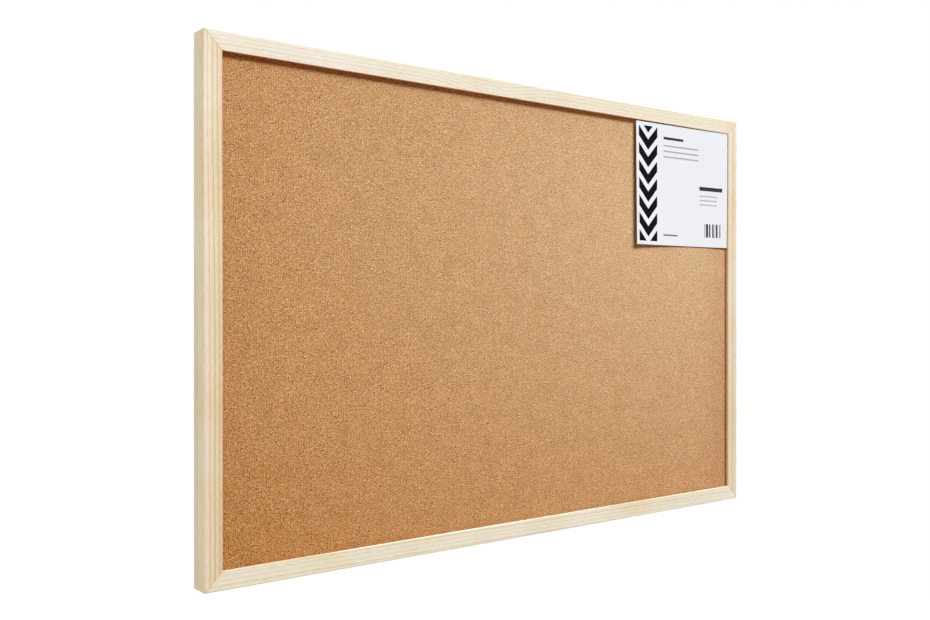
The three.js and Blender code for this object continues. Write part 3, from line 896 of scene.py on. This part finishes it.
def add_ring(side, material):
    """A wire ring, swept along its line and closed by its two butted ends."""
    line = ring_line()
    heading = np.gradient(line, axis=0)
    heading /= np.linalg.norm(heading, axis=1, keepdims=True)
    angles = np.linspace(0, 2 * math.pi, RING_SIDES, endpoint=False)
    made = bmesh.new()
    loops = []
    for (x, z), (hx, hz) in zip(line, heading):
        loop = []
        for angle in angles:
            out = RING_WIRE / 2 * math.cos(angle)
            deep = RING_WIRE / 2 * math.sin(angle)
            loop.append(made.verts.new((x - hz * out, deep, z + hx * out)))
        loops.append(loop)
    for first, second in zip(loops[:-1], loops[1:]):
        for i in range(RING_SIDES):
            j = (i + 1) % RING_SIDES
            made.faces.new((first[i], first[j], second[j], second[i]))
    made.faces.new(loops[0][::-1])
    made.faces.new(loops[-1])
    bmesh.ops.recalc_face_normals(made, faces=made.faces)
    mesh = to_mesh(made, side + "_wire_ring")
    hang = Matrix.Rotation(RING_REST_ANGLE, 4, "X")
    mesh.transform(Matrix.Translation(PIVOTS[side + "_ring"]) @ hang)
    smooth_by_angle(mesh, degrees=50)
    link_piece(side + "_wire_ring", mesh, material, side + "_ring", "zinc", side + "_hanger_ring")


def add_hardware(node, name, bevel, material, slot):
    """A steel piece: the frame's shape with its sharp edges broken."""
    mesh = to_mesh(frame_mesh(node), name)
    smooth_by_angle(mesh, degrees=30)
    piece = link_piece(name, mesh, material, "board", slot, node)
    edge = piece.modifiers.new("broken_edges", "BEVEL")
    edge.width = bevel
    edge.segments = 2
    edge.limit_method = "ANGLE"
    edge.angle_limit = BEVEL_FROM


def dress_node(node, material):
    """Gives a frame node that stays in view its finish."""
    for slot in frame["nodes"][node].material_slots:
        slot.link = "OBJECT"
        slot.material = material


# Stage


def add_world():
    """Weak warm light from all round, seen as plain white by the camera and in reflections."""
    world = bpy.data.worlds.new("studio")
    bpy.context.scene.world = world
    world.use_nodes = True
    tree = world.node_tree
    path = tree.nodes.new("ShaderNodeLightPath")
    seen = path.outputs["Is Camera Ray"]
    for ray in ("Is Glossy Ray", "Is Transmission Ray"):
        either = tree.nodes.new("ShaderNodeMath")
        either.operation = "MAXIMUM"
        tree.links.new(seen, either.inputs[0])
        tree.links.new(path.outputs[ray], either.inputs[1])
        seen = either.outputs[0]
    colour = tree.nodes.new("ShaderNodeMix")
    colour.data_type = "RGBA"
    colour.inputs[6].default_value = AMBIENT
    colour.inputs[7].default_value = WHITE
    tree.links.new(seen, colour.inputs[0])
    tree.links.new(colour.outputs[2], tree.nodes["Background"].inputs["Color"])


def add_floor():
    """A plain pale floor below the board, with the board's shadow on it.

    What is seen of it fades to white further out.
    """
    bpy.ops.mesh.primitive_plane_add(size=FLOOR_SIZE, location=(0, 0, BOARD_LOW.z - FLOOR_DROP))
    floor = bpy.context.object
    floor.name = "floor"
    shader = Shader("pale_floor")
    path = shader.node("ShaderNodeLightPath").outputs
    seen = shader.largest(path["Is Camera Ray"], path["Is Glossy Ray"], path["Is Transmission Ray"])
    colour = shader.mix(seen, FLOOR_BOUNCE, FLOOR_COLOUR)
    shader.set(Base_Color=colour, Roughness=0.9, Specular_IOR_Level=0.0)
    parts = shader.split(shader.position())
    fade = shader.rise(shader.diagonal(parts["X"], parts["Y"]), *FLOOR_FADE)
    glow = shader.node("ShaderNodeEmission")
    both = shader.node("ShaderNodeMixShader")
    shader.put(both.inputs[0], shader.product(fade, seen))
    shader.put(both.inputs[1], shader.surface.outputs[0])
    shader.put(both.inputs[2], glow.outputs[0])
    shader.put(shader.tree.nodes["Material Output"].inputs["Surface"], both.outputs[0])
    floor.data.materials.append(shader.material)


def add_softbox(name, power, size, from_face):
    """A lamp with a rectangular face, turned to the middle of the board."""
    light = bpy.data.lights.new(name, "AREA")
    light.shape = "RECTANGLE"
    light.size, light.size_y = size
    light.energy = power
    light.color = LAMP_COLOUR
    lamp = bpy.data.objects.new(name, light)
    lamp.location = FACE_MIDDLE + from_face
    lamp.rotation_euler = (-from_face).to_track_quat("-Z", "Y").to_euler()
    bpy.context.scene.collection.objects.link(lamp)


def add_camera():
    camera = bpy.data.cameras.new("camera")
    camera.lens = CAMERA_LENS
    camera.sensor_fit = "HORIZONTAL"
    camera.sensor_width = SENSOR_WIDTH
    camera.clip_start = 0.01
    holder = bpy.data.objects.new("camera", camera)
    holder.location = FACE_MIDDLE + CAMERA_FROM_FACE
    holder.rotation_euler = (math.pi / 2 + CAMERA_PITCH, 0, -CAMERA_YAW)
    bpy.context.scene.collection.objects.link(holder)
    bpy.context.scene.camera = holder


add_camera()
add_world()
add_floor()
add_softbox("key", KEY_POWER, KEY_SIZE, KEY_FROM_FACE)
add_softbox("side", SIDE_POWER, SIDE_SIZE, SIDE_FROM_FACE)
add_softbox("graze", GRAZE_POWER, GRAZE_SIZE, GRAZE_FROM_FACE)
add_softbox("back", BACK_POWER, BACK_SIZE, BACK_FROM_FACE)
bpy.context.scene.view_settings.view_transform = "Standard"

# Each length of moulding, with its own cut of the log and its own tints, painted shade and light among
# them
MOULDINGS = {
    "top_rail": dict(
        along="X", across=("Z", BOARD_HIGH.z, -1), seed=0.3,
        pith=(46 * MM, 30 * MM), spacing=2.4 * MM, run_out=0.004, flame=(-35 * MM, 75 * MM, 6 * MM),
        early_wood=srgb(252, 249, 237), late_wood=srgb(238, 219, 183),
        wall_painted_light=WALL_PAINTED_BOUNCE, side_painted_shade=srgb(198, 186, 169),
        ends=(WHITE, (0.935, 0.91, 0.845, 1.0)),
    ),
    "bottom_rail": dict(
        along="X", across=("Z", BOARD_LOW.z, 1), seed=4.1,
        pith=(-38 * MM, 26 * MM), spacing=2.9 * MM, run_out=0.009,
        early_wood=srgb(253, 251, 234), late_wood=srgb(237, 219, 186),
        wall_painted_light=WALL_PAINTED_SHADE, side_painted_shade=PINE_SIDE_SHADE,
        ends=(WHITE, (0.96, 0.965, 0.97, 1.0)),
    ),
    "left_stile": dict(
        along="Z", across=("X", BOARD_LOW.x, 1), seed=7.7,
        pith=(-53.6 * MM, 18 * MM), spacing=3.6 * MM, run_out=0.006, heart=(-3 * MM, 7 * MM),
        early_wood=srgb(255, 250, 227), late_wood=srgb(215, 153, 62),
        wall_painted_light=WALL_PAINTED_BOUNCE, side_painted_shade=srgb(222, 217, 212), inward=srgb(247, 239, 229),
        ends=((0.94, 0.91, 0.86, 1.0), WHITE),
    ),
    "right_stile": dict(
        along="Z", across=("X", BOARD_HIGH.x, -1), seed=2.2,
        pith=(-34 * MM, 40 * MM), spacing=8.5 * MM, run_out=0.003,
        early_wood=srgb(244, 234, 212), late_wood=srgb(220, 190, 138),
        wall_painted_light=srgb(255, 230, 188), side_painted_shade=PINE_SIDE_SHADE,
        ends=((0.96, 0.955, 0.92, 1.0), WHITE),
    ),
}
for node, cut in MOULDINGS.items():
    add_moulding(node, cut["along"], cut["across"], pine("pine_" + node, **cut))

add_cork(cork())
add_liner(kraft())
dress_node("core_board", softboard())
add_card(card_paper())

bright_zinc = zinc("bright_zinc", ZINC_BRIGHT, 0.34)
dull_steel = zinc("dull_steel", STEEL_DULL, 0.45)
for side in ("left", "right"):
    add_ring(side, bright_zinc)
    add_hardware(f"{side}_hanger_strap", f"{side}_strap", STRAP_BEVEL, bright_zinc, "zinc")
    for place in ("upper", "lower"):
        screw = f"{side}_hanger_screw_{place}"
        add_hardware(screw, f"{side}_screw_{place}", SCREW_BEVEL, bright_zinc, "zinc")
    for level in ("top", "bottom"):
        for place in ("outer", "inner"):
            nail = f"nail_{level}_{side}_{place}"
            add_hardware(nail, "v_" + nail, NAIL_BEVEL, dull_steel, "steel")
